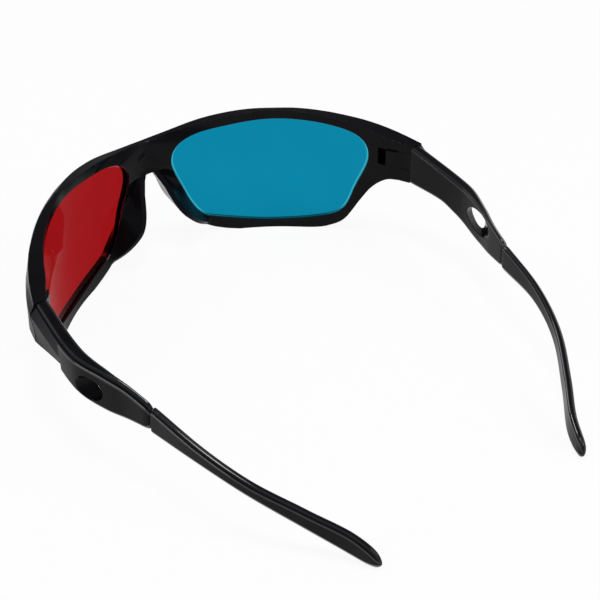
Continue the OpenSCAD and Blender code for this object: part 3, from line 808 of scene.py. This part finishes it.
arm = dict(
    length=47.6, thick=4.394, endThick=2.2, bow=1.8, waist=3.4, fall=8.9, belly=5.2, seamGap=0.3,
    seamShow=0.12, seamRound=0.12, endReach=0.2, endRound=2.2, endIn=1.4, endSteps=5, edgeIn=0.4,
    edgeOut=1.1, topSlope=0.3, corner=0.45, cornerSteps=3, steps=64)
armUpper = [(share * arm["length"], endTop - drop * arm["fall"]) for share, drop in (
    (0, 0), (0.36, 0.38), (0.7, 0.62), (1, 1))]
armLower = [(share * arm["length"], endLow - drop * arm["belly"]) for share, drop in (
    (0, 0), (0.28, 0.06), (0.4, 0.36), (0.59, 0.85), (0.74, 1), (1, 0.86))]
armInner = [
    (0, hingeHalf), (0.45 * arm["length"], hingeHalf + arm["bow"]),
    (0.69 * arm["length"], hingeHalf + 0.1 * arm["bow"]),
    (0.83 * arm["length"], hingeHalf - 0.47 * arm["waist"]),
    (arm["length"], hingeHalf - arm["waist"])]
armThick = [
    (0, arm["thick"]), (0.45 * arm["length"], arm["thick"]),
    (0.71 * arm["length"], arm["endThick"] + 0.22 * (arm["thick"] - arm["endThick"])),
    (0.84 * arm["length"], arm["endThick"]), (arm["length"], arm["endThick"])]


def armRing(d):  # section of the arm at a distance behind the seam
    a = smoothAt(armInner, d)
    b = a + smoothAt(armThick, d)
    top, low = smoothAt(armUpper, d), smoothAt(armLower, d)
    i, o, slope = arm["edgeIn"], arm["edgeOut"], arm["topSlope"]
    section = [(a + i, low), (a, low + i), (a, top - i), (a + i, top), (b - o, top - slope),
               (b, top - slope - o), (b, low + o), (b - o, low)]
    corners = [(x, seamY - d, z) for x, z in section]
    return roundCorners(corners, arm["corner"], arm["cornerSteps"])


plate = dict(
    thick=1.3, length=15.4, rake=1.2, drop=1.4, notch=0.5, gap=0.1, corner=0.14, ridgeFade=0.55,
    ridgeFall=0.62, lowerLeast=0.1, sharpTurn=20, steps=12, seat=(-0.25, 0, 0.25, 0.5, 0.75, 1))
plateIn = hingeHalf + front["endThick"] - front["ridgeOut"] - plate["thick"]


def plateRing(share, gap, reach):  # section of the side plate, or of its seat with a gap
    start = arm["seamGap"]
    dLow = start + share * (plate["length"] - start)
    dTop = start + share * (plate["length"] - plate["rake"] - start)
    edgeLow, edgeTop = smoothAt(armLower, dLow), smoothAt(armUpper, dTop) - plate["drop"]
    rake = (dLow - dTop) / (edgeTop - edgeLow)
    low, top, inner = edgeLow - reach, edgeTop + gap, plateIn - gap
    upper = plateIn + plate["thick"] + reach
    ridge = upper + front["ridgeOut"] * (1 - plate["ridgeFade"] * share)
    lower = upper + (1 - front["gableLow"]) * front["ridgeOut"] * (1 - share)
    zRidge = endTop - front["ridgeDrop"] - share * plate["ridgeFall"] * front["endHigh"]
    zLeast = edgeLow + plate["lowerLeast"] * (zRidge - edgeLow)
    zLower = max(zRidge - front["gableDown"], zLeast)
    section = [
        (inner, low), (inner, top), (upper, top), (ridge, zRidge), (lower, zLower), (lower, low)]
    return [Vector((x, seamY - dTop - rake * (edgeTop - z), z)) for x, z in section]


hole = dict(
    at=27.6, down=1.2, length=9, high=7.2, flare=4, flareBack=1.2, flareLong=0.55, flareUp=0.33,
    flareHigh=0.04, points=48, lip=0.32,
    lips=((-0.3, 1.6), (-0.02, 0.75), (0.03, 0.3), (0.1, 0), (0.5, 0), (0.9, 0), (0.97, 0.3),
          (1.02, 0.75), (1.3, 1.6)))  # share of the way in, share of the lip
holeZ = (smoothAt(armUpper, hole["at"]) + smoothAt(armLower, hole["at"])) / 2 - hole["down"]


def holeRing(share, grow):  # the strap hole flares back towards its inner side
    flare = hole["flare"] * share
    back, up = hole["at"] + hole["flareBack"] * flare, holeZ + hole["flareUp"] * flare
    halfLong = hole["length"] / 2 + grow + hole["flareLong"] * flare
    halfHigh = hole["high"] / 2 + grow + hole["flareHigh"] * flare
    ring = []
    for k in range(hole["points"]):
        a = 2 * pi * k / hole["points"]
        d = back + halfLong * cos(a)
        x = smoothAt(armInner, d) + (1 - share) * smoothAt(armThick, d)
        ring.append(Vector((x, seamY - d, up - halfHigh * sin(a))))
    return ring


def tonguePlan():  # the hinge tongue from above
    r, end = hinge["tongueR"], radians(hinge["noseTurn"])
    steps = hinge["arcSteps"]
    turns = [mixed(end + hingeSlant, 0, k / steps) for k in range(1, steps + 1)]
    points = [(smoothAt(innerX, y), y) for y in (-past, 0, 1, 2, hinge["near"])]
    points += aboutHinge([(-r, 0), (-r, hinge["nose"]), (-hinge["noseTip"], hinge["nose"]),
                          (r * cos(end), r * sin(end))])
    points += [(hingeX + r * cos(a), hingeY + r * sin(a)) for a in turns]
    return points + [(hingeX + r, -past)]


def borePlan():  # the screw's hole through the tongue
    r, count = hinge["screw"] / 2 + hinge["screwGap"], hinge["borePoints"]
    turns = [2 * pi * k / count for k in range(count)]
    return [(hingeX + r * cos(a), hingeY + r * sin(a)) for a in turns]


def makeArm(name, side, body, node):
    first, last, steps = arm["seamShow"], arm["length"], arm["steps"]
    run = last - arm["endRound"] - first
    rings = [shrunk(armRing(first), arm["seamRound"]), armRing(first + arm["seamRound"])]
    rings += [armRing(first + k / steps * run) for k in range(1, steps + 1)]
    for k in range(1, arm["endSteps"] + 1):  # the rounded end
        turn = pi / 2 * k / arm["endSteps"]
        at = last + arm["endReach"] - (arm["endRound"] + arm["endReach"]) * (1 - sin(turn))
        rings.append(shrunk(armRing(at), arm["endIn"] * (1 - cos(turn))))
    piece = newObject(name, polishCorners(capped(lofted(rings)), arm["cornerSteps"]))
    back = plate["notch"] / plate["length"]
    carve(piece, solid("seatTool", [
        plateRing(share, plate["gap"], front["endThick"]) for share in (*plate["seat"], 1 + back)]))
    carve(piece, solid("strapTool", [
        holeRing(share, grow * hole["lip"]) for share, grow in hole["lips"]]))
    carve(piece, prism("tongueTool", tonguePlan(), tongueLow, tongueTop), "UNION")
    carve(piece, prism("boreTool", borePlan(), tongueLow - past, tongueTop + past))
    carve(piece, solid("tangTool", [tangRing(last + d, 0) for d in tip["tang"]]), "UNION")
    settle(piece, gloss, body, [node], side)


# temple tips

tip = dict(
    length=64.4, thick=2.4, high=8.6, inward=27, lean=0.2, gap=0.5, step=0.5, endTop=3.6,
    endThin=0.45, bevel=1.2, roundFrom=0.95, capFrom=0.976, capTo=1.0025, capLeast=0.1, capSteps=6,
    corner=0.3, cornerSteps=2, first=0.006, rootRound=((0, 0.35), (0.0015, 0.12)), steps=56,
    nudge=0.01, tangLength=16, tangThick=1.1, tangHigh=4, tangTaper=0.35, tangGap=0.08,
    tang=(-1, 0, 2, 5, 8), socket=(-1, 0, 2, 5, 8.3))
tipStart = arm["length"] + tip["gap"]
tipRootX = hingeHalf - arm["waist"] + tip["thick"] / 2 - tip["step"]
tipRootTop = endTop - arm["fall"] - tip["step"]
tipRootLow = tipRootTop - tip["high"]
tipCurve = [(0, 0), (0.27, 0.11), (0.5, 0.305), (0.71, 0.615), (0.86, 0.86), (1, 1)]
tipUpper = [
    (0, 0), (0.22, 0.13), (0.42, 0.29), (0.64, 0.51), (0.82, 0.725), (0.95, 0.89), (1, 1)]
tipLower = [
    (0, 0), (0.27, 0.055), (0.5, 0.27), (0.71, 0.63), (0.85, 0.91), (0.94, 1), (1, 0.98)]


def tipX(s):
    return tipRootX - tip["inward"] * smoothAt(tipCurve, s)


def tipTopZ(s):
    return tipRootTop - (tipRootTop - tip["endTop"]) * smoothAt(tipUpper, s)


def tipLowZ(s):
    return tipRootLow * (1 - min(smoothAt(tipLower, s), 1))


def tipRing(s):  # section of the tip at a share of its length
    step = tip["nudge"]
    turn = atan((tipX(s - step) - tipX(s + step)) / (2 * step * tip["length"]))
    t = max(s - tip["roundFrom"], 0) / (1 - tip["roundFrom"])
    w = tip["thick"] / 2 * sqrt(1 - tip["endThin"] * t * t)
    top, low = tipTopZ(s), tipLowZ(s)
    bevel, lean = min(tip["bevel"], 0.3 * (top - low)), tip["lean"] * s
    section = [
        (-0.4 * w - lean, low), (-w - lean, low + bevel), (-w, top - bevel / 2), (-0.6 * w, top),
        (0.4 * w, top - bevel / 4), (w, top - bevel), (w - lean, low + bevel),
        (0.3 * w - lean, low)]
    x, y = tipX(s), seamY - tipStart - s * tip["length"]
    corners = [(x + p * cos(turn), y - p * sin(turn), z) for p, z in section]
    return roundCorners(corners, tip["corner"], tip["cornerSteps"])


def tangRing(d, gap):  # section of the arm's tang, or of its socket with a gap
    inside = max(d - tipStart, 0)
    s = inside / tip["length"]
    x = tipX(s) - tip["lean"] * s / 2
    z = (tipTopZ(s) + tipLowZ(s)) / 2
    w = tip["tangThick"] / 2 + gap
    h = tip["tangHigh"] / 2 * (1 - tip["tangTaper"] * inside / tip["tangLength"]) + gap
    return [Vector((x + u * w, seamY - d, z + v * h))
            for u, v in ((-1, -1), (-1, 1), (1, 1), (1, -1))]


def makeTip(name, side, body, node):
    first, steps = tip["first"], tip["steps"]
    turns = [pi / 2 * k / tip["capSteps"] for k in range(1, tip["capSteps"] + 1)]
    stations = [first + k / steps * (tip["roundFrom"] - first) for k in range(steps + 1)]
    stations += [mixed(tip["roundFrom"], tip["capFrom"], sin(turn)) for turn in turns]
    rings = [shrunk(tipRing(s), by) for s, by in tip["rootRound"]]
    rings += [tipRing(s) for s in stations]
    for turn in turns:  # the rounded end
        ring = tipRing(mixed(tip["capFrom"], tip["capTo"], sin(turn)))
        middle = sum(ring, Vector()) / len(ring)
        rings.append([mixed(middle, p, max(cos(turn), tip["capLeast"])) for p in ring])
    piece = newObject(name, polishCorners(capped(lofted(rings)), tip["cornerSteps"]))
    carve(piece, solid("socketTool", [
        tangRing(tipStart + d, tip["tangGap"]) for d in tip["socket"]]))
    settle(piece, satin, body, [node], side)


def makePlate(name, side, body, node):
    bm = capped(lofted([plateRing(k / plate["steps"], 0, 0) for k in range(plate["steps"] + 1)]))
    sharp = [edge for edge in bm.edges if edge.is_manifold
             and edge.calc_face_angle(0) > radians(plate["sharpTurn"])]
    bevelEdges(bm, sharp, plate["corner"], 2)
    settle(newObject(name, bm), grainy, body, [node], side)


for sideName, side in (("right", 1), ("left", -1)):
    body = sideName + "_arm"
    makeArm(sideName + "Arm", side, body, sideName + "_temple")
    makeTip(sideName + "Tip", side, body, sideName + "_temple_tip")
    makePlate(sideName + "Plate", side, body, sideName + "_side_plate")
    screw = frame["nodes"][sideName + "_hinge_screw"]
    screw.data.materials.clear()
    screw.data.materials.append(steel)
    print(sideName, "temple ready")


# floor, light and camera, in metres apart from the camera's place

studio = dict(
    floorSize=6, floorWhite=0.82, floorRough=0.7, floorSpecular=0.1, shadowShare=0.08,
    worldLow=(0.62, 0.63, 0.65), worldHigh=(0.30, 0.31, 0.33), worldSpan=(0, 0.55))
lamps = dict(
    topSoftbox=dict(place=(-0.05, 0.02, 0.95), target=(0, 0, 0), size=(0.3, 0.3), power=4),
    rearSoftbox=dict(place=(0.45, -0.55, 0.6), target=(0, 0, 0.02), size=(0.12, 0.5), power=2.5),
    sideSoftbox=dict(place=(-0.33, 0.66, 0.57), target=(0, 0, 0.02), size=(0.25, 0.5), power=1.3),
    leftSoftbox=dict(place=(-0.95, 0.08, 0.18), target=(0, 0, 0.02), size=(0.6, 0.16), power=1.3))
view = dict(
    place=(-287.07, -376.48, 367.60), azimuth=37.294, elevation=36.012, focal=2026.41,
    frameSide=600, sensor=36, near=0.01, far=50)


def makeFloor():
    bm = bmesh.new()
    bmesh.ops.create_grid(bm, x_segments=1, y_segments=1, size=studio["floorSize"] / 2)
    floor = newObject("floor", bm)
    paint = Paint(bpy.data.materials.new("floorWhite"))
    paint.set(
        Base_Color=(*[studio["floorWhite"]] * 3, 1), Roughness=studio["floorRough"],
        Specular_IOR_Level=studio["floorSpecular"])
    camera, glossy, through = (paint.node("ShaderNodeLightPath", out=name) for name in (
        "Is Camera Ray", "Is Glossy Ray", "Is Transmission Ray"))
    seen = camera.maths("MAXIMUM", camera, glossy.maths("MAXIMUM", glossy, through))
    white = paint.node("ShaderNodeEmission", None, {"Color": (1, 1, 1, 1), "Strength": 1.0})
    both = paint.node("ShaderNodeMixShader", None, {
        0: seen * (1 - studio["shadowShare"]), 1: Wire(paint, paint.shader.outputs[0]), 2: white})
    paint.feed(paint.tree.nodes["Material Output"].inputs["Surface"], both)
    floor.data.materials.append(paint.owner)


def makeWorld():  # paler below than above
    paint = Paint(bpy.data.worlds.new("studioWorld"), "Background", "Generated")
    height = paint.node("ShaderNodeSeparateXYZ", None, {0: paint.place}, out="Z")
    sky = paint.ramp(height, studio["worldSpan"], studio["worldLow"], studio["worldHigh"])
    paint.set(Color=sky, Strength=1.0)
    bpy.context.scene.world = paint.owner


def makeLamp(name, place, target, size, power):
    lamp = bpy.data.lights.new(name, "AREA")
    lamp.shape = "RECTANGLE"
    lamp.size, lamp.size_y = size
    lamp.energy = power
    holder = bpy.data.objects.new(name, lamp)
    bpy.context.scene.collection.objects.link(holder)
    holder.location = place
    aim = Vector(target) - Vector(place)
    holder.rotation_euler = aim.to_track_quat("-Z", "Y").to_euler()


def makeCamera():
    az, el = radians(view["azimuth"]), radians(view["elevation"])
    right = Vector((cos(az), -sin(az), 0))
    ahead = Vector((sin(az) * cos(el), cos(az) * cos(el), -sin(el)))
    up = right.cross(ahead)
    turn = Matrix((right, up, -ahead)).transposed().to_4x4()
    lens = bpy.data.cameras.new("photoCamera")
    lens.sensor_fit = "HORIZONTAL"
    lens.sensor_width = view["sensor"]
    lens.lens = view["focal"] / view["frameSide"] * view["sensor"]
    lens.clip_start = view["near"]
    lens.clip_end = view["far"]
    lens.dof.use_dof = False
    camera = bpy.data.objects.new("photoCamera", lens)
    camera.matrix_world = Matrix.Translation(Vector(view["place"]) * mm) @ turn
    bpy.context.scene.collection.objects.link(camera)
    bpy.context.scene.camera = camera


makeFloor()
makeWorld()
for lampName, lamp in lamps.items():
    makeLamp(lampName, **lamp)
makeCamera()
bpy.context.scene.view_settings.view_transform = "Standard"
print("stage ready")

bpy.context.view_layer.update()
